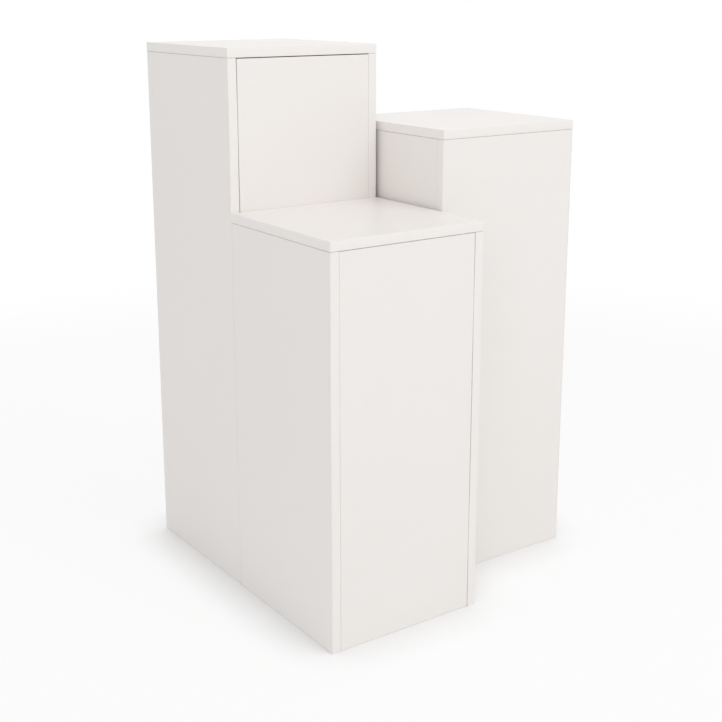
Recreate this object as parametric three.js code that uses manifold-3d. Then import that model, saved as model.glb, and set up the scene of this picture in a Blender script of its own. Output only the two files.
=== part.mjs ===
// A tiered display table: three free-standing plinths of white laminated board, set close together in steps.
// Each plinth is a tall box, open underneath: two side panels, a front panel set in flush between them, a thin
// back board on their rear edges, and a top that covers them all. Cam fittings draw the front panel and the top
// against the sides, and dowels keep the top in place.
// Millimetres, +Z up, front towards -Y. The origin lies on the floor under the middle of the group.
import * as THREE from 'three';
import { mergeVertices } from 'three/addons/utils/BufferGeometryUtils.js';
import Module from 'manifold-3d';

const wasm = await Module();
wasm.setup();

// Boards
const boardThickness = 18;
const backThickness = 3;
const plinthWidth = 330;
const plinthDepth = 330;
const tallHeight = 1050;
const midHeight = 900;
const lowHeight = 750;
const arrisRadius = 0.8;
const arrisSteps = 2;

// Joints between boards
const tightJoint = 0.3;
const openJoint = 1.2;
const headJoint = 1;
const backMargin = 1;
const backLift = 2;

// How the three plinths stand
const pushedGap = 0.5;
const midGap = 8;
const midSetback = 128;

// Cam fittings: where they sit, the cam, and the bolt that it grips
const camFromTop = 150;
const camFromFloor = 150;
const topCamFromBack = 70;
const camBackset = 24;
const camRadius = 7.5;
const camBelowBolt = 4.2;
const camSides = 12;
const driverSlotLength = 9;
const driverSlotWidth = 1.8;
const driverSlotDepth = 2.5;
const boltHeadRadius = 3.2;
const boltHeadLength = 3.6;
const boltNeckRadius = 2.2;
const boltNeckLength = 4;
const boltRadius = 3;
const boltThreadRadius = 2.4;
const boltThreadLength = 10;
const boltSides = 8;

// Dowels that keep the top in place on the sides
const topDowelFromFront = 70;
const dowelRadius = 4;
const dowelLength = 34;
const dowelInTop = 11;
const dowelTaper = 1.2;
const dowelSides = 10;

// Room round a fitting in its hole, and the extra depth of the hole past the fitting's end
const holeClearance = 0.3;
const holeEndRoom = 0.6;
const drillRunIn = 5;

// Sizes that follow
const halfWidth = plinthWidth / 2;
const halfDepth = plinthDepth / 2;
const sideDepth = plinthDepth - backThickness - tightJoint;
const insetWidth = plinthWidth - 2 * boardThickness - tightJoint - openJoint;
const boltDepth = boardThickness / 2;
const dowelInSide = dowelLength - dowelInTop - tightJoint;

const laminate = new THREE.MeshStandardMaterial({ color: 0xf1efec, roughness: 0.42, metalness: 0 });
const hardboard = new THREE.MeshStandardMaterial({ color: 0xe9e6e0, roughness: 0.6, metalness: 0 });
const zinc = new THREE.MeshStandardMaterial({ color: 0xb4b6b8, roughness: 0.38, metalness: 1 });
const steel = new THREE.MeshStandardMaterial({ color: 0xc4c1b6, roughness: 0.3, metalness: 1 });
const beech = new THREE.MeshStandardMaterial({ color: 0xc9a473, roughness: 0.7, metalness: 0 });

const right = new THREE.Vector3(1, 0, 0);
const left = new THREE.Vector3(-1, 0, 0);
const up = new THREE.Vector3(0, 1, 0);
const down = new THREE.Vector3(0, -1, 0);
const outward = new THREE.Vector3(0, 0, 1);

// A closed geometry as a solid that can be cut and joined.
function solidOf(geometry) {
  const bare = geometry.clone();
  bare.deleteAttribute('normal');
  bare.deleteAttribute('uv');
  const merged = mergeVertices(bare, 1e-4);
  return new wasm.Manifold(new wasm.Mesh({
    numProp: 3,
    vertProperties: new Float32Array(merged.attributes.position.array),
    triVerts: new Uint32Array(merged.index.array),
  }));
}

// A geometry with flat faces, less the holes bored in it.
function bored(geometry, holes) {
  let solid = solidOf(geometry);
  for (const hole of holes) {
    solid = solid.subtract(solidOf(hole));
  }
  const mesh = solid.getMesh();
  const cut = new THREE.BufferGeometry();
  cut.setAttribute('position', new THREE.BufferAttribute(mesh.vertProperties, 3));
  cut.setIndex(new THREE.BufferAttribute(mesh.triVerts, 1));
  const faceted = cut.toNonIndexed();
  faceted.computeVertexNormals();
  return faceted;
}

// A laminated board lying flat with its inner face on z = 0, centred in x and y, its arrises eased.
function board(width, length) {
  const x = width / 2;
  const y = length / 2;
  const outline = new THREE.Shape([
    new THREE.Vector2(-x, -y),
    new THREE.Vector2(x, -y),
    new THREE.Vector2(x, y),
    new THREE.Vector2(-x, y),
  ]);
  const geometry = new THREE.ExtrudeGeometry(outline, {
    depth: boardThickness - 2 * arrisRadius,
    bevelThickness: arrisRadius,
    bevelSize: arrisRadius,
    bevelOffset: -arrisRadius,
    bevelSegments: arrisSteps,
  });
  return geometry.translate(0, 0, arrisRadius);
}

// A round hole that enters at a point and runs along a direction.
function hole(radius, depth, x, y, z, direction, sides) {
  const length = depth + drillRunIn;
  const bit = new THREE.CylinderGeometry(radius, radius, length, sides);
  bit.translate(0, length / 2 - drillRunIn, 0);
  bit.applyQuaternion(new THREE.Quaternion().setFromUnitVectors(up, direction));
  return bit.translate(x, y, z);
}

// The holes for a cam fitting in the board that it pulls: the cam's in the inner face, the bolt's in the edge.
function camHoles(edgeX, edgeY, inward) {
  const x = edgeX + inward.x * camBackset;
  const y = edgeY + inward.y * camBackset;
  const camHoleDepth = boltDepth + camBelowBolt + holeEndRoom;
  return [
    hole(camRadius + holeClearance, camHoleDepth, x, y, 0, outward, camSides),
    hole(boltHeadRadius + holeClearance, camBackset, edgeX, edgeY, boltDepth, inward, boltSides),
  ];
}

// The hole for a cam bolt's thread in the inner face of the board that it pulls against.
function threadHole(x, y) {
  const depth = boltThreadLength + holeEndRoom;
  return hole(boltThreadRadius + holeClearance, depth, x, y, 0, outward, boltSides);
}

function dowelHole(depth, x, y, z, direction) {
  return hole(dowelRadius + holeClearance, depth + holeEndRoom, x, y, z, direction, dowelSides);
}

// The heights above the floor at which the cam fittings hold a plinth's front panel.
function camLevels(height) {
  return [['upper', height - camFromTop], ['lower', camFromFloor]];
}

// The top panel, seen from above: x runs across, y to the back. Its fittings enter from underneath.
function topGeometry() {
  const holes = [];
  for (const x of [-halfWidth + boltDepth, halfWidth - boltDepth]) {
    holes.push(threadHole(x, halfDepth - topCamFromBack));
    holes.push(dowelHole(dowelInTop, x, -halfDepth + topDowelFromFront, 0, outward));
  }
  return bored(board(plinthWidth, plinthDepth), holes);
}

// A side panel, flat: y runs up, and x forward where frontward is 1 or backward where it is -1.
function sideGeometry(height, frontward) {
  const length = height - boardThickness - tightJoint;
  const front = sideDepth / 2;
  const boltX = frontward * (front - boltDepth);
  const camX = frontward * (front - plinthDepth + topCamFromBack);
  const dowelX = frontward * (front - topDowelFromFront);
  const holes = camLevels(height).map(([, level]) => threadHole(boltX, level - length / 2));
  holes.push(...camHoles(camX, length / 2, down));
  holes.push(dowelHole(dowelInSide, dowelX, length / 2, boltDepth, down));
  return bored(board(sideDepth, length), holes);
}

// A front panel, flat: x runs across, y up.
function frontGeometry(height) {
  const length = height - boardThickness - headJoint;
  const edge = insetWidth / 2;
  const holes = camLevels(height).flatMap(([, level]) => [
    ...camHoles(-edge, level - length / 2, right),
    ...camHoles(edge, level - length / 2, left),
  ]);
  return bored(board(insetWidth, length), holes);
}

// A cam with its axis along z and its cross-slotted face inwards. The bolt's head enters it from -x.
function camGeometry() {
  const height = boltDepth + camBelowBolt - holeClearance;
  const cam = new THREE.CylinderGeometry(camRadius, camRadius, height, camSides);
  cam.rotateX(Math.PI / 2);
  cam.translate(0, 0, holeClearance + height / 2);
  const mouth = camRadius + boltHeadLength / 2 + holeClearance;
  const cuts = [hole(boltHeadRadius + holeClearance, mouth, -camRadius, 0, boltDepth, right, boltSides)];
  for (const turn of [0, Math.PI / 2]) {
    const slot = new THREE.BoxGeometry(driverSlotLength, driverSlotWidth, 2 * driverSlotDepth);
    cuts.push(slot.rotateZ(turn).translate(0, 0, holeClearance));
  }
  return bored(cam, cuts);
}

// A cam bolt, which reaches from the cam's middle along -x, across the joint and into the next board's face.
function boltGeometry(jointGap) {
  const headEnd = boltHeadLength / 2;
  const neckEnd = headEnd + boltNeckLength;
  const shankEnd = camBackset + jointGap - holeClearance;
  const tip = camBackset + jointGap + boltThreadLength;
  const profile = [
    [0, -headEnd],
    [boltHeadRadius, -headEnd],
    [boltHeadRadius, headEnd],
    [boltNeckRadius, headEnd],
    [boltNeckRadius, neckEnd],
    [boltRadius, neckEnd],
    [boltRadius, shankEnd],
    [boltThreadRadius, shankEnd],
    [boltThreadRadius, tip - boltThreadRadius],
    [0, tip],
  ];
  const bolt = new THREE.LatheGeometry(profile.map(([r, y]) => new THREE.Vector2(r, y)), boltSides);
  bolt.applyQuaternion(new THREE.Quaternion().setFromUnitVectors(up, left));
  return bolt.translate(0, 0, boltDepth);
}

// A dowel standing on the origin, tapered at both ends.
function dowelGeometry() {
  const profile = [
    [0, 0],
    [dowelRadius - dowelTaper, 0],
    [dowelRadius, dowelTaper],
    [dowelRadius, dowelLength - dowelTaper],
    [dowelRadius - dowelTaper, dowelLength],
    [0, dowelLength],
  ];
  const dowel = new THREE.LatheGeometry(profile.map(([r, y]) => new THREE.Vector2(r, y)), dowelSides);
  return dowel.rotateX(Math.PI / 2);
}

function named(name, geometry, material) {
  const mesh = new THREE.Mesh(geometry, material);
  mesh.name = name;
  return mesh;
}

// A cam and its bolt, placed on the board that holds the cam, with the bolt leaving through that board's edge.
function camFitting(name, edgeX, edgeY, inward, jointGap) {
  const fitting = new THREE.Group();
  fitting.position.set(edgeX + inward.x * camBackset, edgeY + inward.y * camBackset, 0);
  fitting.rotation.z = Math.atan2(inward.y, inward.x);
  fitting.add(named(`${name}_cam`, camGeometry(), zinc));
  fitting.add(named(`${name}_cam_bolt`, boltGeometry(jointGap), steel));
  return fitting;
}

// A group that stands a flat board up and turns it to face outwards. The front faces -y at no turns.
function wall(quarterTurns, ...pieces) {
  const upright = new THREE.Group();
  upright.rotation.x = Math.PI / 2;
  upright.add(...pieces);
  const turned = new THREE.Group();
  turned.rotation.z = quarterTurns * Math.PI / 2;
  turned.add(upright);
  return turned;
}

function sideWall(plinth, hand, quarterTurns, frontward) {
  const name = `${plinth.name}_${hand}`;
  const length = plinth.height - boardThickness - tightJoint;
  const panel = named(`${name}_side_panel`, sideGeometry(plinth.height, frontward), laminate);
  const centre = frontward * (halfDepth - sideDepth / 2);
  panel.position.set(centre, length / 2, halfWidth - boardThickness);
  const camX = frontward * (topCamFromBack - halfDepth);
  const fitting = camFitting(`${name}_top`, camX, length, down, tightJoint);
  fitting.position.z = halfWidth - boardThickness;
  return wall(quarterTurns, panel, fitting);
}

// The front panel has settled against one side, so that one upright joint is tight and the other open.
function frontWall(plinth) {
  const length = plinth.height - boardThickness - headJoint;
  const panel = named(`${plinth.name}_front_panel`, frontGeometry(plinth.height), laminate);
  panel.position.y = length / 2;
  const settled = new THREE.Group();
  settled.position.set((plinth.leftJoint - plinth.rightJoint) / 2, 0, halfDepth - boardThickness);
  settled.add(panel);
  for (const [level, height] of camLevels(plinth.height)) {
    const edge = insetWidth / 2;
    const name = `${plinth.name}_front_${level}`;
    settled.add(camFitting(`${name}_left`, -edge, height, right, plinth.leftJoint));
    settled.add(camFitting(`${name}_right`, edge, height, left, plinth.rightJoint));
  }
  return wall(0, settled);
}

function backBoard(plinth) {
  const length = plinth.height - boardThickness - tightJoint - backLift;
  const sheet = new THREE.BoxGeometry(plinthWidth - 2 * backMargin, length, backThickness);
  const panel = named(`${plinth.name}_back_board`, sheet, hardboard);
  panel.position.set(0, backLift + length / 2, halfDepth - backThickness / 2);
  return wall(2, panel);
}

function plinthGroup(plinth) {
  const group = new THREE.Group();
  const top = named(`${plinth.name}_top_panel`, topGeometry(), laminate);
  top.position.z = plinth.height - boardThickness;
  group.add(top, frontWall(plinth), backBoard(plinth));
  group.add(sideWall(plinth, 'right', 1, -1), sideWall(plinth, 'left', 3, 1));
  for (const [hand, side] of [['left', -1], ['right', 1]]) {
    const dowel = named(`${plinth.name}_${hand}_top_dowel`, dowelGeometry(), beech);
    const foot = plinth.height - boardThickness + dowelInTop - dowelLength;
    dowel.position.set(side * (halfWidth - boltDepth), topDowelFromFront - halfDepth, foot);
    group.add(dowel);
  }
  return group;
}

// The tall plinth stands behind, the low one is pushed up against its front, and the mid one, turned a quarter
// so that a plain side faces forward, stands a little apart on their right.
const lowFront = -pushedGap - plinthDepth;
const midFront = lowFront + midSetback;
const tall = plinthGroup({ name: 'tall', height: tallHeight, leftJoint: openJoint, rightJoint: tightJoint });
tall.position.set(halfWidth, halfDepth, 0);
const low = plinthGroup({ name: 'low', height: lowHeight, leftJoint: tightJoint, rightJoint: openJoint });
low.position.set(halfWidth, lowFront + halfDepth, 0);
const mid = plinthGroup({ name: 'mid', height: midHeight, leftJoint: tightJoint, rightJoint: openJoint });
mid.position.set(plinthWidth + midGap + halfDepth, midFront + halfWidth, 0);
mid.rotation.z = -Math.PI / 2;

const displayTable = new THREE.Group();
displayTable.add(tall, mid, low);
const groupWidth = plinthWidth + midGap + plinthDepth;
const groupFront = Math.min(lowFront, midFront);
const groupBack = Math.max(plinthDepth, midFront + plinthWidth);
displayTable.position.set(-groupWidth / 2, -(groupFront + groupBack) / 2, 0);

export default displayTable;
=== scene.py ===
"""Three white laminated display plinths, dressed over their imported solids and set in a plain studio.

Each plinth is a box of laminated chipboard: a top, two sides, a front panel set in flush between them and a thin
back board, drawn together by cams. The boards get banded edges and raw feet, the backs get panel pins, and the cams
get their cross slots.
"""

from __future__ import annotations

import logging
import math
from dataclasses import dataclass
from enum import Enum

import bpy
import numpy as np
from mathutils import Euler, Matrix, Vector

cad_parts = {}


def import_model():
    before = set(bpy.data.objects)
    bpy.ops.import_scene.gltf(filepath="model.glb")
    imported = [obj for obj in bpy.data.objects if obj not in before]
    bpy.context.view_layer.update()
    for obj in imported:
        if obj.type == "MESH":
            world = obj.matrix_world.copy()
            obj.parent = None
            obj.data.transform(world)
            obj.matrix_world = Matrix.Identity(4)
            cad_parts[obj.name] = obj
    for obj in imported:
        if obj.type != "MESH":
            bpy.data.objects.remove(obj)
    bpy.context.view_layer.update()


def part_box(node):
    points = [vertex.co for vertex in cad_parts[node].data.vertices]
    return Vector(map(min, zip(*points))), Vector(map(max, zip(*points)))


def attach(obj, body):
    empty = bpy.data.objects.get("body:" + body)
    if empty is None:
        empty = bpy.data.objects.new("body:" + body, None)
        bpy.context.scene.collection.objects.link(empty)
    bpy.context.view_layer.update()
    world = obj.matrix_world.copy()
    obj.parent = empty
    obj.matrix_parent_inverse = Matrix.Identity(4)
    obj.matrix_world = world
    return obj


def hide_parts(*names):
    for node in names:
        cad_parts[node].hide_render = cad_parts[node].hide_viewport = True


LOG = logging.getLogger("display_plinths")
MM = 0.001
QUARTER_TURN = math.pi / 2
FULL_TURN = 2 * math.pi
CREASE = math.radians(38)  # an edge that turns by more stays sharp
FACING = 0.98  # the cosine above which a face counts as looking along a direction
SEAT = 0.3 * MM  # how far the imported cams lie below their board's face

Colour = tuple[float, float, float, float]
Point = tuple[float, float, float]
WHITE: Colour = (1.0, 1.0, 1.0, 1.0)


class Axis(Enum):
    """The three axes of the shared frame, by column."""

    X = 0
    Y = 1
    Z = 2


class Hand(Enum):
    """The two sides of a plinth, as seen from its own front."""

    LEFT = "left"
    RIGHT = "right"


class Level(Enum):
    """The two heights at which a front panel is fixed."""

    UPPER = "upper"
    LOWER = "lower"


def linear(red: float, green: float, blue: float) -> Colour:
    """Turn display values from 0 to 255 into the linear colour that shaders take.

    Args:
        red: Red as it shows on a screen.
        green: Green as it shows on a screen.
        blue: Blue as it shows on a screen.

    Returns:
        The linear colour with full alpha.
    """
    shown = np.array([red, green, blue]) / 255.0
    light = np.where(shown <= 0.04045, shown / 12.92, ((shown + 0.055) / 1.055) ** 2.4)
    return (float(light[0]), float(light[1]), float(light[2]), 1.0)


# Surfaces


@dataclass
class Surface:
    """Points and faces of one piece, with an outward normal for each point where it is known."""

    points: np.ndarray
    faces: list[np.ndarray]
    normals: np.ndarray | None = None

    def joined(self, other: Surface) -> Surface:
        """Put another surface into the same piece.

        Args:
            other: The surface to add.

        Returns:
            One surface that holds both.
        """
        count = len(self.points)
        normals = None
        if self.normals is not None and other.normals is not None:
            normals = np.vstack([self.normals, other.normals])
        moved = [face + count for face in other.faces]
        return Surface(np.vstack([self.points, other.points]), self.faces + moved, normals)


def grid_quads(index: np.ndarray, closed_rows: bool, closed_columns: bool) -> np.ndarray:
    """Join a grid of point numbers into four-sided faces.

    Args:
        index: Point numbers, as rows by columns.
        closed_rows: Whether the last row joins the first.
        closed_columns: Whether the last column joins the first.

    Returns:
        An array of faces, four point numbers each, wound from column to column and then from row to row.
    """
    rows = np.vstack([index, index[:1]]) if closed_rows else index
    grid = np.hstack([rows, rows[:, :1]]) if closed_columns else rows
    corners = (grid[:-1, :-1], grid[:-1, 1:], grid[1:, 1:], grid[1:, :-1])
    return np.stack(corners, axis=-1).reshape(-1, 4)


def eased_block(low: np.ndarray, high: np.ndarray, radius: float, steps: int, heights: np.ndarray) -> Surface:
    """Make a block with eased arrises.

    A point is the corner of an inner core plus the radius along a unit normal. One parameter turns that normal round
    the upright axis and changes the core's corner every quarter turn, the other tips it from straight down to
    straight up, with extra level rows up the walls.

    Args:
        low: The lowest corner, in metres.
        high: The highest corner, in metres.
        radius: The radius of the arrises.
        steps: How many faces go round each arris.
        heights: The heights of extra level rows round the walls, from low to high.

    Returns:
        The closed surface with its exact normals.
    """
    centre = (low + high) / 2
    core = (high - low) / 2 - radius
    quarter = np.linspace(0.0, QUARTER_TURN, steps + 1)
    turn = (np.arange(4)[:, None] * QUARTER_TURN + quarter).ravel()
    side_x = np.repeat([1.0, -1.0, -1.0, 1.0], steps + 1)
    side_y = np.repeat([1.0, 1.0, -1.0, -1.0], steps + 1)
    tip = np.concatenate([quarter - QUARTER_TURN, np.zeros(len(heights)), quarter])
    end = np.full(steps + 1, core[2])
    rise = np.concatenate([-end, heights - centre[2], end])
    normals = np.stack(
        [
            np.cos(tip)[:, None] * np.cos(turn),
            np.cos(tip)[:, None] * np.sin(turn),
            np.repeat(np.sin(tip)[:, None], len(turn), axis=1),
        ],
        axis=-1,
    )
    corner = np.stack(
        [
            np.broadcast_to(side_x * core[0], normals.shape[:2]),
            np.broadcast_to(side_y * core[1], normals.shape[:2]),
            np.broadcast_to(rise[:, None], normals.shape[:2]),
        ],
        axis=-1,
    )
    points = centre + corner + radius * normals
    index = np.arange(points.shape[0] * points.shape[1]).reshape(points.shape[:2])
    index[0] = np.repeat(index[0, :: steps + 1], steps + 1)
    index[-1] = np.repeat(index[-1, :: steps + 1], steps + 1)
    quads = grid_quads(index, closed_rows=False, closed_columns=True)
    flat_foot = quads[:, 0] == quads[:, 1]
    flat_head = quads[:, 2] == quads[:, 3]
    whole = quads[~flat_foot & ~flat_head]
    fans = np.vstack([quads[flat_foot][:, [0, 2, 3]], quads[flat_head][:, [0, 1, 2]]])
    caps = np.stack([index[0, :: steps + 1][::-1], index[-1, :: steps + 1]])
    return compact(Surface(points.reshape(-1, 3), [whole, fans, caps], normals.reshape(-1, 3)))


def compact(surface: Surface) -> Surface:
    """Drop the points that no face uses.

    Args:
        surface: The surface to clean.

    Returns:
        The same surface with its used points alone.
    """
    used = np.unique(np.concatenate([face.ravel() for face in surface.faces]))
    renumber = np.zeros(len(surface.points), dtype=int)
    renumber[used] = np.arange(len(used))
    normals = None if surface.normals is None else surface.normals[used]
    return Surface(surface.points[used], [renumber[face] for face in surface.faces], normals)


def swept(sections: np.ndarray, closed: bool) -> Surface:
    """Carry a closed profile along a path.

    Args:
        sections: The profile at each stop of the path, as stops by profile points by three.
        closed: Whether the path joins up with its own start.

    Returns:
        The surface, capped at both ends where the path is open.
    """
    stops, around = sections.shape[:2]
    index = np.arange(stops * around).reshape(stops, around)
    faces = [grid_quads(index, closed_rows=closed, closed_columns=True)]
    if not closed:
        faces.append(np.stack([index[0][::-1], index[-1]]))
    return Surface(sections.reshape(-1, 3), faces)


def band_profile(thickness: float, height: float, radius: float, steps: int) -> np.ndarray:
    """Trace an edge band's section: in from the outer face by the first value, up the board by the second.

    It runs from the inner foot round the lower arris, up the outer face, round the upper arris and back inside.

    Args:
        thickness: How far the band reaches in from the board's edge.
        height: The board's thickness.
        radius: The radius of the band's two outer arrises.
        steps: How many faces go round each arris.

    Returns:
        The profile's points, as inward and upward values.
    """
    bend = np.linspace(0.0, QUARTER_TURN, steps + 1)
    foot = np.stack([radius - radius * np.sin(bend), radius - radius * np.cos(bend)], axis=-1)
    head = np.stack([radius - radius * np.cos(bend), height - radius + radius * np.sin(bend)], axis=-1)
    inner_foot = np.array([[thickness, 0.0]])
    inner_head = np.array([[thickness, height]])
    return np.vstack([inner_foot, foot, head, inner_head])


def make_object(name: str, surface: Surface, materials: list[bpy.types.Material]) -> bpy.types.Object:
    """Put a surface into the scene as an object at the origin.

    Args:
        name: The piece's name.
        surface: Its points, faces and, where known, normals.
        materials: Its material slots.

    Returns:
        The new object.
    """
    mesh = bpy.data.meshes.new(name)
    faces = [row for group in surface.faces for row in group.tolist()]
    mesh.from_pydata(surface.points.tolist(), [], faces)
    mesh.polygons.foreach_set("use_smooth", np.ones(len(mesh.polygons), dtype=bool))
    if surface.normals is None:
        mesh.set_sharp_from_angle(angle=CREASE)
    else:
        mesh.normals_split_custom_set_from_vertices(surface.normals.tolist())
    for material in materials:
        mesh.materials.append(material)
    mesh.update()
    piece = bpy.data.objects.new(name, mesh)
    bpy.context.scene.collection.objects.link(piece)
    return piece


def face_up(piece: bpy.types.Object, direction: np.ndarray, slot: int) -> None:
    """Give the flat faces that look one way their own material slot.

    Args:
        piece: The object whose faces are set.
        direction: The way that those faces look.
        slot: The number of the slot.
    """
    count = len(piece.data.polygons)
    normals = np.zeros(count * 3)
    piece.data.polygons.foreach_get("normal", normals)
    slots = np.zeros(count, dtype=int)
    piece.data.polygons.foreach_get("material_index", slots)
    slots[normals.reshape(-1, 3) @ direction > FACING] = slot
    piece.data.polygons.foreach_set("material_index", slots)


# Finishes


class Nodes:
    """The node tree of a material or of the world, with short calls to add and join nodes."""

    noise_low = 0.3
    noise_high = 0.7

    def __init__(self, owner: bpy.types.Material | bpy.types.World) -> None:
        """Start with an empty tree."""
        owner.use_nodes = True
        self.owner = owner
        self.tree = owner.node_tree
        self.tree.nodes.clear()

    def add(self, kind: str, **values: object) -> bpy.types.Node:
        """Add a node and set its properties and inputs.

        Args:
            kind: The node's type name.
            **values: Properties by name, or inputs by name with spaces as underscores.

        Returns:
            The new node.
        """
        node = self.tree.nodes.new(kind)
        for key, value in values.items():
            if hasattr(node, key):
                setattr(node, key, value)
            else:
                node.inputs[key.replace("_", " ")].default_value = value
        return node

    def join(self, start: bpy.types.NodeSocket, end: bpy.types.NodeSocket) -> None:
        """Link one socket to another."""
        self.tree.links.new(start, end)

    def place(self) -> bpy.types.NodeSocket:
        """Give the piece's own coordinates, in metres."""
        return self.add("ShaderNodeTexCoord").outputs["Object"]

    def noise(self, place: bpy.types.NodeSocket, scale: float, detail: float) -> bpy.types.NodeSocket:
        """Add smooth noise.

        Args:
            place: The coordinates that it reads.
            scale: How many cells there are in a metre.
            detail: How many finer layers it has.

        Returns:
            The noise's value, from 0 to 1.
        """
        node = self.add("ShaderNodeTexNoise", Scale=scale, Detail=detail)
        self.join(place, node.inputs["Vector"])
        return node.outputs["Fac"]

    def spread(self, value: bpy.types.NodeSocket, low: float, high: float) -> bpy.types.NodeSocket:
        """Map the middle of a noise to a range.

        Args:
            value: The noise's value.
            low: The result where the noise has its usual lowest value.
            high: The result where it has its usual highest value.

        Returns:
            The mapped value.
        """
        return self.mapped(value, From_Min=self.noise_low, From_Max=self.noise_high, To_Min=low, To_Max=high)

    def mapped(self, value: bpy.types.NodeSocket, **values: object) -> bpy.types.NodeSocket:
        """Map a value from one range to another.

        Args:
            value: The value.
            **values: The ends of the two ranges and how one goes over to the other.

        Returns:
            The mapped value.
        """
        node = self.add("ShaderNodeMapRange", **values)
        self.join(value, node.inputs["Value"])
        return node.outputs["Result"]

    def mixed(
        self, share: bpy.types.NodeSocket, first: tuple[float, ...], second: tuple[float, ...]
    ) -> bpy.types.NodeSocket:
        """Mix two colours.

        Args:
            share: How much of the second colour there is.
            first: The colour at 0.
            second: The colour at 1.

        Returns:
            The mixed colour.
        """
        node = self.add("ShaderNodeMix", data_type="RGBA")
        sockets = {socket.identifier: socket for socket in node.inputs}
        sockets["A_Color"].default_value = first
        sockets["B_Color"].default_value = second
        self.join(share, sockets["Factor_Float"])
        return next(s for s in node.outputs if s.identifier == "Result_Color")

    def maths(
        self, operation: str, first: bpy.types.NodeSocket, second: bpy.types.NodeSocket
    ) -> bpy.types.NodeSocket:
        """Work out one value from two.

        Args:
            operation: The operation's name, such as MAXIMUM or MULTIPLY.
            first: One value.
            second: The other.

        Returns:
            The result.
        """
        node = self.add("ShaderNodeMath", operation=operation)
        self.join(first, node.inputs[0])
        self.join(second, node.inputs[1])
        return node.outputs[0]

    def background_rays(self) -> bpy.types.NodeSocket:
        """Give 1 for the rays that show the background: from the camera, off gloss or through glass."""
        path = self.add("ShaderNodeLightPath")
        mirrored = self.maths("MAXIMUM", path.outputs["Is Glossy Ray"], path.outputs["Is Transmission Ray"])
        return self.maths("MAXIMUM", path.outputs["Is Camera Ray"], mirrored)

    def blended(
        self, share: bpy.types.NodeSocket, first: bpy.types.Node, second: bpy.types.Node
    ) -> bpy.types.Node:
        """Mix two shaders.

        Args:
            share: How much of the second shader there is.
            first: The shader at 0.
            second: The shader at 1.

        Returns:
            The mixed shader.
        """
        node = self.add("ShaderNodeMixShader")
        self.join(share, node.inputs[0])
        self.join(first.outputs[0], node.inputs[1])
        self.join(second.outputs[0], node.inputs[2])
        return node

    def bump(self, height: bpy.types.NodeSocket, distance: float, strength: float) -> bpy.types.NodeSocket:
        """Turn a height into a bumped normal.

        Args:
            height: The height, from 0 to 1.
            distance: The height in metres at 1.
            strength: The share of it that shows.

        Returns:
            The normal.
        """
        node = self.add("ShaderNodeBump", Distance=distance, Strength=strength)
        self.join(height, node.inputs["Height"])
        return node.outputs["Normal"]

    def finish(self, shader: bpy.types.Node) -> bpy.types.Material | bpy.types.World:
        """Join the last shader to the output and give the tree's owner."""
        kind = "World" if isinstance(self.owner, bpy.types.World) else "Material"
        output = self.add(f"ShaderNodeOutput{kind}")
        self.join(shader.outputs[0], output.inputs["Surface"])
        return self.owner


@dataclass(frozen=True)
class LaminateFinish:
    """White laminate: an even warm white with a fine pearl texture and soft wiping marks in its gloss."""

    name: str
    pale: Colour
    dull: Colour
    satin: float = 0.31
    wiped: float = 0.38
    pearl: float = 0.02 * MM
    pearl_share: float = 0.35
    pearl_scale: float = 700.0
    cloud_scale: float = 2.6
    wipe_scale: float = 9.0

    def material(self) -> bpy.types.Material:
        """Build the finish's nodes and give the material."""
        nodes = Nodes(bpy.data.materials.new(self.name))
        place = nodes.place()
        shader = nodes.add("ShaderNodeBsdfPrincipled")
        cloud = nodes.spread(nodes.noise(place, self.cloud_scale, 3.0), 0.0, 1.0)
        nodes.join(nodes.mixed(cloud, self.pale, self.dull), shader.inputs["Base Color"])
        wipe = nodes.spread(nodes.noise(place, self.wipe_scale, 4.0), self.satin, self.wiped)
        nodes.join(wipe, shader.inputs["Roughness"])
        grain = nodes.noise(place, self.pearl_scale, 2.0)
        nodes.join(nodes.bump(grain, self.pearl, self.pearl_share), shader.inputs["Normal"])
        return nodes.finish(shader)


@dataclass(frozen=True)
class ChipboardFinish:
    """Raw chipboard at a sawn edge: pale and dark chips of wood pressed together, with small pits."""

    name: str
    pale: Colour
    dark: Colour
    rough: float = 0.85
    chip_scale: float = 420.0
    pit_scale: float = 900.0
    pit_depth: float = 0.4 * MM
    pit_share: float = 0.6

    def material(self) -> bpy.types.Material:
        """Build the finish's nodes and give the material."""
        nodes = Nodes(bpy.data.materials.new(self.name))
        place = nodes.place()
        shader = nodes.add("ShaderNodeBsdfPrincipled", Roughness=self.rough)
        chips = nodes.add("ShaderNodeTexVoronoi", Scale=self.chip_scale)
        nodes.join(place, chips.inputs["Vector"])
        split = nodes.add("ShaderNodeSeparateColor")
        nodes.join(chips.outputs["Color"], split.inputs["Color"])
        nodes.join(nodes.mixed(split.outputs[0], self.pale, self.dark), shader.inputs["Base Color"])
        pits = nodes.noise(place, self.pit_scale, 3.0)
        nodes.join(nodes.bump(pits, self.pit_depth, self.pit_share), shader.inputs["Normal"])
        return nodes.finish(shader)


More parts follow.
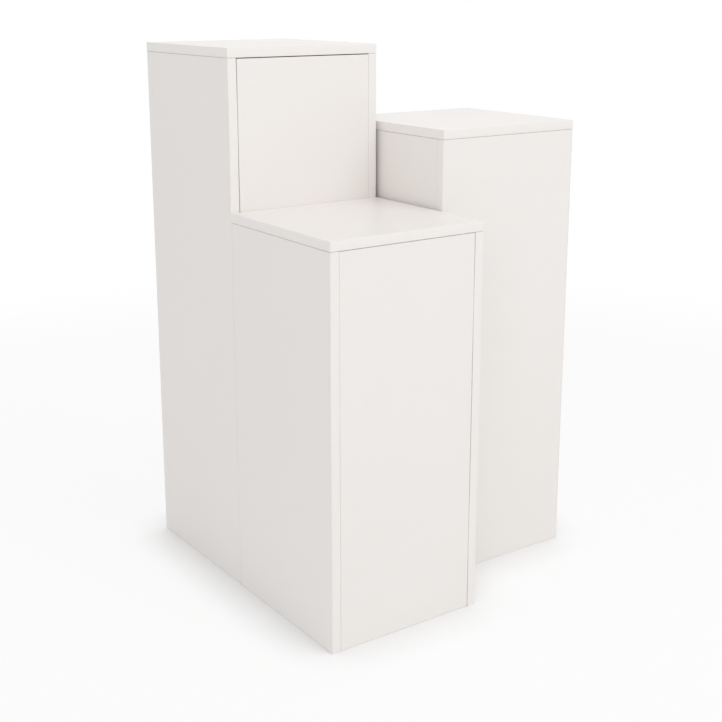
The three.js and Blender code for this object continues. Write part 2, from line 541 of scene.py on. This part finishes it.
@dataclass(frozen=True)
class HardboardFinish:
    """White-faced hardboard: a thin lacquer over a faintly felted sheet."""

    name: str
    pale: Colour
    dull: Colour
    lacquer: float = 0.5
    thin_lacquer: float = 0.62
    lacquer_scale: float = 40.0
    cloud_scale: float = 14.0
    felt_scale: float = 380.0
    felt_depth: float = 0.12 * MM
    felt_share: float = 0.5

    def material(self) -> bpy.types.Material:
        """Build the finish's nodes and give the material."""
        nodes = Nodes(bpy.data.materials.new(self.name))
        place = nodes.place()
        shader = nodes.add("ShaderNodeBsdfPrincipled")
        cloud = nodes.spread(nodes.noise(place, self.cloud_scale, 5.0), 0.0, 1.0)
        nodes.join(nodes.mixed(cloud, self.pale, self.dull), shader.inputs["Base Color"])
        gloss = nodes.spread(nodes.noise(place, self.lacquer_scale, 3.0), self.lacquer, self.thin_lacquer)
        nodes.join(gloss, shader.inputs["Roughness"])
        felt = nodes.noise(place, self.felt_scale, 6.0)
        nodes.join(nodes.bump(felt, self.felt_depth, self.felt_share), shader.inputs["Normal"])
        return nodes.finish(shader)


@dataclass(frozen=True)
class MetalFinish:
    """Cast or plated metal: a mottled grey with a worn gloss."""

    name: str
    pale: Colour
    dark: Colour
    bright: float
    worn: float
    mottle: float
    wear_ratio: float = 2.3
    skin_ratio: float = 6.0
    skin_depth: float = 0.06 * MM
    skin_share: float = 0.4

    def material(self) -> bpy.types.Material:
        """Build the finish's nodes and give the material."""
        nodes = Nodes(bpy.data.materials.new(self.name))
        place = nodes.place()
        shader = nodes.add("ShaderNodeBsdfPrincipled", Metallic=1.0)
        cloud = nodes.spread(nodes.noise(place, self.mottle, 4.0), 0.0, 1.0)
        nodes.join(nodes.mixed(cloud, self.pale, self.dark), shader.inputs["Base Color"])
        wear = nodes.spread(nodes.noise(place, self.mottle * self.wear_ratio, 3.0), self.bright, self.worn)
        nodes.join(wear, shader.inputs["Roughness"])
        skin = nodes.noise(place, self.mottle * self.skin_ratio, 3.0)
        nodes.join(nodes.bump(skin, self.skin_depth, self.skin_share), shader.inputs["Normal"])
        return nodes.finish(shader)


@dataclass(frozen=True)
class BeechFinish:
    """Plain beech: fine flecks drawn out along the upright grain."""

    name: str
    pale: Colour
    dark: Colour
    rough: float = 0.7
    grain_scale: float = 1400.0
    grain_stretch: float = 0.06
    grain_depth: float = 0.2 * MM
    grain_share: float = 0.5

    def material(self) -> bpy.types.Material:
        """Build the finish's nodes and give the material."""
        nodes = Nodes(bpy.data.materials.new(self.name))
        stretch = nodes.add("ShaderNodeMapping", Scale=(1.0, 1.0, self.grain_stretch))
        nodes.join(nodes.place(), stretch.inputs["Vector"])
        grain = nodes.noise(stretch.outputs["Vector"], self.grain_scale, 4.0)
        shader = nodes.add("ShaderNodeBsdfPrincipled", Roughness=self.rough)
        fleck = nodes.spread(grain, 0.0, 1.0)
        nodes.join(nodes.mixed(fleck, self.pale, self.dark), shader.inputs["Base Color"])
        nodes.join(nodes.bump(grain, self.grain_depth, self.grain_share), shader.inputs["Normal"])
        return nodes.finish(shader)


@dataclass(frozen=True)
class FloorFinish:
    """A pale studio floor that goes over to plain white far out.

    For the rays that show the background it is mixed with white. The share of white is the lift near the plinths and
    1 beyond them, and it falls to nothing at the foot of a wall, so that the shadow there stays.
    """

    name: str
    colour: Colour
    lift: float
    near: float
    far: float
    contact: float
    shut: float = 0.5
    clear: float = 0.95
    samples: int = 16

    def material(self) -> bpy.types.Material:
        """Build the finish's nodes and give the material."""
        nodes = Nodes(bpy.data.materials.new(self.name))
        shader = nodes.add("ShaderNodeBsdfDiffuse", Color=self.colour)
        reach = nodes.add("ShaderNodeVectorMath", operation="LENGTH")
        nodes.join(nodes.place(), reach.inputs[0])
        rim = nodes.mapped(
            reach.outputs["Value"],
            interpolation_type="SMOOTHSTEP",
            From_Min=self.near,
            From_Max=self.far,
            To_Min=self.lift,
        )
        walls = nodes.add("ShaderNodeAmbientOcclusion", samples=self.samples, Distance=self.contact)
        clear = nodes.mapped(walls.outputs["AO"], From_Min=self.shut, From_Max=self.clear)
        open_floor = nodes.maths("MULTIPLY", rim, clear)
        share = nodes.maths("MULTIPLY", nodes.background_rays(), open_floor)
        white = nodes.add("ShaderNodeEmission", Color=WHITE, Strength=1.0)
        return nodes.finish(nodes.blended(share, shader, white))


@dataclass(frozen=True)
class Finishes:
    """Every finish of the set, made once."""

    laminate: bpy.types.Material
    band: bpy.types.Material
    chipboard: bpy.types.Material
    hardboard: bpy.types.Material
    zinc: bpy.types.Material
    steel: bpy.types.Material
    beech: bpy.types.Material

    @classmethod
    def made(cls) -> Finishes:
        """Make the materials of all the finishes."""
        return cls(
            laminate=LaminateFinish(
                "white_laminate", pale=linear(242.6, 239, 236), dull=linear(241.8, 238, 234.8)
            ).material(),
            band=LaminateFinish(
                "white_edge_band",
                pale=linear(243.6, 240, 237),
                dull=linear(242.8, 239, 235.8),
                satin=0.31,
                wiped=0.35,
                pearl=0.01 * MM,
            ).material(),
            chipboard=ChipboardFinish(
                "raw_chipboard", pale=linear(214, 188, 148), dark=linear(150, 116, 78)
            ).material(),
            hardboard=HardboardFinish(
                "white_hardboard", pale=linear(240.5, 236.6, 232.6), dull=linear(238.5, 234.4, 230)
            ).material(),
            zinc=MetalFinish(
                "cast_zinc",
                pale=linear(198, 200, 203),
                dark=linear(168, 170, 174),
                bright=0.34,
                worn=0.52,
                mottle=260.0,
            ).material(),
            steel=MetalFinish(
                "plated_steel",
                pale=linear(212, 208, 196),
                dark=linear(188, 184, 172),
                bright=0.24,
                worn=0.4,
                mottle=180.0,
            ).material(),
            beech=BeechFinish(
                "plain_beech", pale=linear(214, 182, 138), dark=linear(186, 148, 104)
            ).material(),
        )


# Pieces


@dataclass
class Board:
    """One laminated board: its chipboard body with white faces, and the bands on the edges that show."""

    name: str
    node: str
    body: str
    thickness_axis: Axis
    banded: tuple[tuple[Axis, int], ...]
    raw: tuple[tuple[Axis, int], ...]
    band: float = 1.0 * MM
    hairline: float = 0.06 * MM
    trimmed: float = 0.1 * MM
    arris: float = 0.8 * MM
    foot_rise: float = 1.8 * MM
    foot_ease: float = 1.5 * MM
    trim_steps: int = 2
    arris_steps: int = 4
    rows: int = 0

    def box(self) -> tuple[np.ndarray, np.ndarray]:
        """Give the board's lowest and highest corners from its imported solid."""
        low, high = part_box(self.node)
        return np.array(low), np.array(high)

    def core(self) -> Surface:
        """Make the board's body, set in behind its bands.

        Returns:
            The eased block that is left when each band and its hairline joint are taken off.
        """
        low, high = self.box()
        for axis, way in self.banded:
            edge = high if way > 0 else low
            edge[axis.value] -= way * (self.band + self.hairline)
        block = eased_block(low, high, self.trimmed, self.trim_steps, self.heights()[1:-1])
        return self.eased_foot(block)

    def heights(self) -> np.ndarray:
        """Give the heights of the rows up an upright board: its foot, the easing above it, and even steps."""
        low, high = self.box()
        if self.thickness_axis is Axis.Z:
            return np.array([low[2], high[2]])
        steps = np.linspace(low[2], high[2], self.rows + 2)[1:]
        return np.concatenate([[low[2], low[2] + self.foot_rise], steps])

    def eased_foot(self, surface: Surface) -> Surface:
        """Ease an upright board's foot: its lowest points move in towards the middle of its thickness.

        Args:
            surface: The surface with a square foot.

        Returns:
            The surface with its eased foot.
        """
        if self.thickness_axis is Axis.Z:
            return surface
        low, high = self.box()
        across = self.thickness_axis.value
        points = surface.points.copy()
        under = points[:, 2] < low[2] + self.foot_rise / 2
        inward = np.sign((low[across] + high[across]) / 2 - points[:, across])
        points[:, across] += np.where(under, inward * self.foot_ease, 0.0)
        return Surface(points, surface.faces, surface.normals)

    def straight_band(self, axis: Axis, way: int) -> Surface:
        """Make the band along one upright edge: the band's profile carried straight up it.

        Args:
            axis: The axis that the edge faces along.
            way: 1 where it faces up that axis, -1 where it faces down it.

        Returns:
            The band's surface.
        """
        low, high = self.box()
        across = self.thickness_axis.value
        inward, up = band_profile(self.band, high[across] - low[across], self.arris, self.arris_steps).T
        heights = self.heights()
        sections = np.zeros((len(heights), len(inward), 3))
        edge = high[axis.value] if way > 0 else low[axis.value]
        sections[:, :, axis.value] = edge - way * inward
        sections[:, :, across] = low[across] + up
        sections[:, :, 2] = heights[:, None]
        turned = (axis is Axis.X) == (way > 0)
        return self.eased_foot(swept(sections if turned else sections[:, ::-1], closed=False))

    def loop_band(self) -> Surface:
        """Make the band round a lying board: the band's profile carried round its four mitred corners."""
        low, high = self.box()
        inward, up = band_profile(self.band, high[2] - low[2], self.arris, self.arris_steps).T
        centre = (low + high) / 2
        half = (high - low) / 2
        side = np.array([[1, 1], [-1, 1], [-1, -1], [1, -1]], dtype=float)
        sections = np.zeros((4, len(inward), 3))
        sections[:, :, 0] = centre[0] + side[:, :1] * (half[0] - inward)
        sections[:, :, 1] = centre[1] + side[:, 1:] * (half[1] - inward)
        sections[:, :, 2] = low[2] + up
        return swept(sections[:, ::-1], closed=True)

    def bands(self) -> Surface | None:
        """Make all the board's bands as one surface, or none where no edge has one."""
        if not self.banded:
            return None
        if self.thickness_axis is Axis.Z:
            return self.loop_band()
        strips = [self.straight_band(axis, way) for axis, way in self.banded]
        whole = strips[0]
        for strip in strips[1:]:
            whole = whole.joined(strip)
        return whole

    def settled(self, surface: Surface) -> Surface:
        """Give the surface as it stands once the fittings are tight. A plain board keeps its shape."""
        return surface

    def build(self, finishes: Finishes) -> None:
        """Make the board and its bands, dress them and let them ride on the plinth.

        Args:
            finishes: The set's materials.
        """
        materials = [finishes.laminate, finishes.chipboard]
        piece = make_object(self.name, self.settled(self.core()), materials)
        for axis, way in self.raw:
            direction = np.zeros(3)
            direction[axis.value] = way
            face_up(piece, direction, 1)
        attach(piece, self.body)
        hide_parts(self.node)
        LOG.info("board %s", self.name)
        bands = self.bands()
        if bands is None:
            return
        strip = make_object(f"{self.name}_edge_band", self.settled(bands), [finishes.band])
        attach(strip, self.body)
        LOG.info("edge band of %s", self.name)


@dataclass
class FrontBoard(Board):
    """A front board, trimmed a little short of the top and of the side where its joint stands open."""

    head_drop: float = 0.0
    open_axis: Axis = Axis.X
    open_way: int = 1
    open_ease: float = 0.0

    def box(self) -> tuple[np.ndarray, np.ndarray]:
        """Give the trimmed board's lowest and highest corners."""
        low, high = super().box()
        high[2] -= self.head_drop
        edge = high if self.open_way > 0 else low
        edge[self.open_axis.value] -= self.open_way * self.open_ease
        return low, high


@dataclass
class SideBoard(Board):
    """A side board, which its cam bolts draw in a little towards the front panel."""

    pulls: tuple[float, ...] = ()
    pull: float = 0.0
    reach: float = 70.0 * MM
    inner_way: int = 1
    front_axis: Axis = Axis.Y
    front_way: int = -1

    def settled(self, surface: Surface) -> Surface:
        """Draw the board in at its bolts.

        A point moves inwards by the pull times a bell curve of its height from each bolt, and by less and less from
        the front edge to the back.

        Args:
            surface: The straight surface.

        Returns:
            The surface drawn in.
        """
        low, high = self.box()
        points = surface.points.copy()
        height = points[:, 2:3] - np.array(self.pulls)
        bell = np.exp(-((height / self.reach) ** 2)).sum(axis=1)
        run = self.front_axis.value
        front = high[run] if self.front_way > 0 else low[run]
        nearness = 1.0 - np.abs(points[:, run] - front) / (high[run] - low[run])
        points[:, self.thickness_axis.value] += self.inner_way * self.pull * bell * nearness
        return Surface(points, surface.faces, surface.normals)


@dataclass
class BackBoard:
    """The thin back, and the pins that hold it to the sides' rear edges."""

    name: str
    node: str
    body: str
    out_axis: Axis
    sunk: float = 0.4 * MM
    seat: float = 0.25 * MM
    flush: float = 0.85 * MM
    eased: float = 0.25 * MM
    pin_radius: float = 1.6 * MM
    pin_rise: float = 0.32 * MM
    pin_margin: float = 8.0 * MM
    pin_pitch: float = 145.0 * MM
    pin_end: float = 30.0 * MM
    pin_skirt: float = 0.2 * MM
    pin_rings: int = 5
    pin_sides: int = 16
    fewest_pins: int = 3
    eased_steps: int = 3

    def box(self) -> tuple[np.ndarray, np.ndarray]:
        """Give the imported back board's lowest and highest corners."""
        low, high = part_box(self.node)
        return np.array(low), np.array(high)

    def pins(self) -> Surface:
        """Make the pins' low domed heads in two upright rows.

        A head is a function of its radius and its turn: it stands out by the rise times the root of one less the
        radius squared.

        Returns:
            All the heads as one surface.
        """
        low, high = self.box()
        out = self.out_axis.value
        across = 1 - out
        ring = np.linspace(0.0, 1.0, self.pin_rings + 1)[1:]
        turn = np.linspace(0.0, FULL_TURN, self.pin_sides, endpoint=False)
        rise = self.pin_rise * np.sqrt(np.clip(1.0 - ring**2, 0.0, 1.0))
        head = np.stack(
            [
                (ring[:, None] * np.cos(turn)) * self.pin_radius,
                (ring[:, None] * np.sin(turn)) * self.pin_radius,
                np.repeat(rise[:, None], len(turn), axis=1),
            ],
            axis=-1,
        ).reshape(-1, 3)
        skirt = head[-len(turn):] - np.array([0.0, 0.0, self.pin_skirt])
        crown = [[0.0, 0.0, self.pin_rise]]
        foot = [[0.0, 0.0, -self.pin_skirt]]
        head = np.vstack([crown, head, skirt, foot])
        count = max(self.fewest_pins, round((high[2] - low[2]) / self.pin_pitch) + 1)
        heights = np.linspace(low[2] + self.pin_end, high[2] - self.pin_end, count)
        sides = np.array([low[across] + self.pin_margin, high[across] - self.pin_margin])
        where = np.stack(np.meshgrid(sides, heights, indexing="ij"), axis=-1).reshape(-1, 2)
        points = np.zeros((len(where), len(head), 3))
        mirror = -1.0 if self.out_axis is Axis.Y else 1.0
        points[:, :, across] = where[:, :1] + mirror * head[:, 0]
        points[:, :, 2] = where[:, 1:] + head[:, 1]
        points[:, :, out] = high[out] - self.sunk + head[:, 2]
        index = 1 + np.arange((self.pin_rings + 1) * len(turn)).reshape(-1, len(turn))
        quads = grid_quads(index, closed_rows=False, closed_columns=True)
        tip = np.zeros(len(turn), dtype=int)
        first = np.stack([tip, index[0], np.roll(index[0], -1)], axis=-1)
        last = np.stack([tip + len(head) - 1, np.roll(index[-1], -1), index[-1]], axis=-1)
        step = (np.arange(len(where)) * len(head))[:, None, None]
        quads = (quads[:, ::-1] + step).reshape(-1, 4)
        fans = (np.vstack([first, last]) + step).reshape(-1, 3)
        return Surface(points.reshape(-1, 3), [quads, fans])

    def build(self, finishes: Finishes) -> None:
        """Make the sheet and its pins, dress them and let them ride on the plinth.

        Args:
            finishes: The set's materials.
        """
        low, high = self.box()
        out = self.out_axis.value
        high[out] -= self.sunk
        low[out] -= self.seat
        low[1 - out] -= self.flush
        high[1 - out] += self.flush
        block = eased_block(low, high, self.eased, self.eased_steps, np.zeros(0))
        sheet = make_object(self.name, block, [finishes.hardboard])
        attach(sheet, self.body)
        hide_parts(self.node)
        LOG.info("back board %s", self.name)
        pins = make_object(f"{self.name}_pins", self.pins(), [finishes.steel])
        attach(pins, self.body)
        LOG.info("pins of %s", self.name)


@dataclass
class Cam:
    """A cast cam in its hole, with the cross slot that turns it."""

    name: str
    node: str
    body: str
    axis: Axis
    face_way: int
    proud: float = 0.15 * MM
    slot_half: float = 0.9 * MM
    slot_reach: float = 4.6 * MM
    slot_depth: float = 2.4 * MM
    slot_wall: float = 0.25 * MM
    slot_end: float = 0.3 * MM
    rim: float = 0.5 * MM
    rim_steps: int = 4
    pole: float = 0.05 * MM
    sides: int = 120
    face_rings: int = 46

    def surface(self) -> Surface:
        """Make the cam: a profile turned round its axis, with its face let down where the cross slot runs.

        The profile runs out over the face, round the rim, down the wall and in under the foot. On the face the depth
        is the slot's where the point lies within half its width of either arm and inside its reach.

        Returns:
            The closed surface.
        """
        low, high = (np.array(corner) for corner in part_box(self.node))
        centre = (low + high) / 2
        along = self.axis.value
        first, second = (axis.value for axis in Axis if axis is not self.axis)
        radius = (high - low)[[first, second]].max() / 2
        depth = high[along] - low[along]
        turn = np.linspace(0.0, FULL_TURN, self.sides, endpoint=False)
        face = np.linspace(self.pole, radius - self.rim, self.face_rings)
        bend = np.linspace(0.0, QUARTER_TURN, self.rim_steps + 1)
        rim_r = radius - self.rim + self.rim * np.sin(bend)
        rim_z = -self.rim + self.rim * np.cos(bend)
        spread = np.concatenate([face, rim_r[1:], [radius, self.pole]])
        drop = np.concatenate([np.zeros(len(face)), rim_z[1:], [-depth, -depth]])
        x = spread[:, None] * np.cos(turn)
        y = spread[:, None] * np.sin(turn)
        z = np.repeat(drop[:, None], len(turn), axis=1)
        arm = np.minimum(np.abs(x), np.abs(y))
        wall = np.clip((self.slot_half - arm) / self.slot_wall, 0.0, 1.0)
        end = np.clip((self.slot_reach - np.hypot(x, y)) / self.slot_end, 0.0, 1.0)
        on_face = (np.arange(len(spread)) < len(face))[:, None]
        z = z - np.where(on_face, self.slot_depth * wall * end, 0.0)
        mirror = -self.face_way if self.axis is Axis.Y else self.face_way
        face_at = high[along] if self.face_way > 0 else low[along]
        top = face_at + self.face_way * (SEAT + self.proud)
        points = np.zeros((*x.shape, 3))
        points[..., first] = centre[first] + x * mirror
        points[..., second] = centre[second] + y
        points[..., along] = top + self.face_way * z
        index = np.arange(x.size).reshape(x.shape)
        quads = grid_quads(index, closed_rows=False, closed_columns=True)
        caps = np.stack([index[0], index[-1][::-1]])
        return Surface(points.reshape(-1, 3), [quads[:, ::-1], caps])

    def build(self, finishes: Finishes) -> None:
        """Make the cam, dress it and let it ride on the plinth.

        Args:
            finishes: The set's materials.
        """
        piece = make_object(self.name, self.surface(), [finishes.zinc])
        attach(piece, self.body)
        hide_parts(self.node)
        LOG.info("cam %s", self.name)


@dataclass
class Plinth:
    """One plinth: its boards, its back, and the fittings inside."""

    name: str
    front_axis: Axis
    front_way: int
    left_way: int
    open_hand: Hand
    open_pull: float = 0.75 * MM
    tight_pull: float = 0.12 * MM
    cam_from_top: float = 150.0 * MM
    cam_from_floor: float = 150.0 * MM
    back_sunk: float = 0.4 * MM
    pin_rise: float = 0.32 * MM
    head_drop: float = 0.1 * MM
    open_ease: float = 0.2 * MM
    side_rows: int = 60

    @property
    def body(self) -> str:
        """Name the body that the plinth's pieces ride on."""
        return f"{self.name}_plinth"

    @property
    def top_node(self) -> str:
        """Name the top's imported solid."""
        return f"{self.name}_top_panel"

    @property
    def across(self) -> Axis:
        """Give the axis that runs from one side of the plinth to the other."""
        return Axis.Y if self.front_axis is Axis.X else Axis.X

    def way_of(self, hand: Hand) -> int:
        """Say which way along the across axis one side faces.

        Args:
            hand: The side.

        Returns:
            1 or -1.
        """
        return self.left_way if hand is Hand.LEFT else -self.left_way

    def top(self) -> Board:
        """Describe the top, banded all round."""
        edges = ((Axis.X, 1), (Axis.X, -1), (Axis.Y, 1), (Axis.Y, -1))
        return Board(f"{self.name}_top", self.top_node, self.body, Axis.Z, edges, ())

    def front(self) -> FrontBoard:
        """Describe the front panel, banded up both sides and raw at its foot."""
        edges = ((self.across, 1), (self.across, -1))
        return FrontBoard(
            f"{self.name}_front",
            f"{self.name}_front_panel",
            self.body,
            self.front_axis,
            edges,
            ((Axis.Z, -1),),
            head_drop=self.head_drop,
            open_axis=self.across,
            open_way=self.way_of(self.open_hand),
            open_ease=self.open_ease,
        )

    def side(self, hand: Hand) -> SideBoard:
        """Describe one side, banded up its front edge and raw elsewhere.

        Args:
            hand: Which side it is.

        Returns:
            The side board.
        """
        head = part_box(self.top_node)[1][2]
        return SideBoard(
            f"{self.name}_{hand.value}_side",
            f"{self.name}_{hand.value}_side_panel",
            self.body,
            self.across,
            ((self.front_axis, self.front_way),),
            ((Axis.Z, -1), (Axis.Z, 1), (self.front_axis, -self.front_way)),
            rows=self.side_rows,
            pulls=(head - self.cam_from_top, self.cam_from_floor),
            pull=self.open_pull if hand is self.open_hand else self.tight_pull,
            inner_way=-self.way_of(hand),
            front_axis=self.front_axis,
            front_way=self.front_way,
        )

    def back(self) -> BackBoard:
        """Describe the back board."""
        return BackBoard(
            f"{self.name}_back",
            f"{self.name}_back_board",
            self.body,
            self.front_axis,
            sunk=self.back_sunk,
            pin_rise=self.pin_rise,
        )

    def cams(self) -> list[Cam]:
        """Describe the six cams: four in the front panel and one at the head of each side."""
        found = []
        for level in Level:
            for hand in Hand:
                stem = f"{self.name}_front_{level.value}_{hand.value}_cam"
                found.append(Cam(f"{stem}_slotted", stem, self.body, self.front_axis, -self.front_way))
        for hand in Hand:
            stem = f"{self.name}_{hand.value}_top_cam"
            found.append(Cam(f"{stem}_slotted", stem, self.body, self.across, -self.way_of(hand)))
        return found

    def dress_fittings(self, finishes: Finishes) -> None:
        """Give the bolts and dowels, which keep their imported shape, their materials.

        Args:
            finishes: The set's materials.
        """
        bolts = [f"{cam.node}_bolt" for cam in self.cams()]
        dowels = [f"{self.name}_{hand.value}_top_dowel" for hand in Hand]
        for names, material in ((bolts, finishes.steel), (dowels, finishes.beech)):
            for name in names:
                for slot in bpy.data.objects[name].material_slots:
                    slot.material = material
                LOG.info("fitting %s", name)

    def build(self, finishes: Finishes) -> None:
        """Make and dress all the plinth's pieces.

        Args:
            finishes: The set's materials.
        """
        for board in (self.top(), self.front(), self.side(Hand.LEFT), self.side(Hand.RIGHT)):
            board.build(finishes)
        self.back().build(finishes)
        for cam in self.cams():
            cam.build(finishes)
        self.dress_fittings(finishes)


# Studio


def looking(place: Point, target: Point) -> Matrix:
    """Give the matrix of something at one point that faces another, upright.

    Args:
        place: Where it stands.
        target: The point that it faces.

    Returns:
        The matrix, with its -Z axis towards the target.
    """
    way = Vector(target) - Vector(place)
    turn = way.to_track_quat("-Z", "Y").to_matrix().to_4x4()
    return Matrix.Translation(Vector(place)) @ turn


@dataclass(frozen=True)
class Lamp:
    """A soft square white lamp that faces the plinths. It doesn't show as a patch in their gloss."""

    name: str
    place: Point
    size: float
    power: float
    target: Point = (0.0, 0.0, 0.75)

    def build(self) -> None:
        """Hang the lamp."""
        data = bpy.data.lights.new(self.name, "AREA")
        data.shape = "SQUARE"
        data.size = self.size
        data.energy = self.power
        lamp = bpy.data.objects.new(self.name, data)
        lamp.matrix_world = looking(self.place, self.target)
        lamp.visible_glossy = False
        bpy.context.scene.collection.objects.link(lamp)
        LOG.info("lamp %s", self.name)


@dataclass(frozen=True)
class Studio:
    """The floor, the even light all round, the lamps and the camera."""

    ambient: float = 0.68
    floor_half: float = 14.0
    sensor: float = 36.0
    lens: float = 61.34
    shift_down: float = -0.085
    far_clip: float = 100.0
    turn_deg: float = 35.04
    tilt_deg: float = 13.985
    eye: Point = (-1.4275, -1.9778, 1.145)
    lamps: tuple[Lamp, ...] = (
        Lamp("key", (1.0, -2.3, 3.6), size=2.6, power=31.0),
        Lamp("front", (0.8, -3.7, 1.9), size=2.4, power=2.0),
        Lamp("front_left", (-2.6, -3.0, 2.6), size=2.4, power=25.0),
        Lamp("over", (0.0, -0.3, 3.6), size=2.6, power=5.5),
        Lamp("back", (1.6, 3.2, 2.4), size=2.6, power=8.0),
    )

    def lay_floor(self) -> None:
        """Lay the pale floor, one flat square."""
        half = self.floor_half
        corners = np.array([[-half, -half, 0.0], [half, -half, 0.0], [half, half, 0.0], [-half, half, 0.0]])
        square = Surface(corners, [np.array([[0, 1, 2, 3]])])
        finish = FloorFinish(
            "pale_floor", colour=(0.92, 0.92, 0.92, 1.0), lift=0.82, near=1.4, far=2.8, contact=0.12
        )
        floor = make_object("floor", square, [finish.material()])
        LOG.info("floor")

    def fill_light(self) -> None:
        """Fill the room with even light, and show it white as a background."""
        nodes = Nodes(bpy.data.worlds.new("studio_room"))
        lit = nodes.add("ShaderNodeBackground", Color=WHITE, Strength=self.ambient)
        seen = nodes.add("ShaderNodeBackground", Color=WHITE, Strength=1.0)
        bpy.context.scene.world = nodes.finish(nodes.blended(nodes.background_rays(), lit, seen))

    def set_camera(self) -> None:
        """Stand the camera at the photograph's angle."""
        data = bpy.data.cameras.new("camera")
        data.sensor_fit = "HORIZONTAL"
        data.sensor_width = self.sensor
        data.lens = self.lens
        data.shift_y = self.shift_down
        data.clip_end = self.far_clip
        camera = bpy.data.objects.new("camera", data)
        turn = Euler((math.radians(90.0 - self.tilt_deg), 0.0, math.radians(-self.turn_deg)), "XYZ")
        camera.matrix_world = Matrix.Translation(Vector(self.eye)) @ turn.to_matrix().to_4x4()
        bpy.context.scene.collection.objects.link(camera)
        bpy.context.scene.camera = camera
        LOG.info("camera")

    def build(self) -> None:
        """Set up the whole studio."""
        bpy.context.scene.view_settings.view_transform = "Standard"
        self.set_camera()
        self.lay_floor()
        self.fill_light()
        for lamp in self.lamps:
            lamp.build()


def main() -> None:
    """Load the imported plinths, dress them and set the studio round them."""
    logging.basicConfig(level=logging.INFO, format="%(name)s: %(message)s")
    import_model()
    Studio().build()
    finishes = Finishes.made()
    plinths = (
        Plinth("tall", Axis.Y, -1, -1, Hand.LEFT, head_drop=0.7 * MM, open_ease=0.5 * MM),
        Plinth(
            "mid", Axis.X, -1, 1, Hand.RIGHT, open_pull=0.2 * MM, head_drop=-0.6 * MM, open_ease=-0.7 * MM
        ),
        Plinth(
            "low", Axis.Y, -1, -1, Hand.RIGHT, back_sunk=-0.25 * MM, pin_rise=0.05 * MM, head_drop=-0.25 * MM
        ),
    )
    for plinth in plinths:
        plinth.build(finishes)
        LOG.info("plinth %s", plinth.name)


if __name__ == "__main__":
    main()
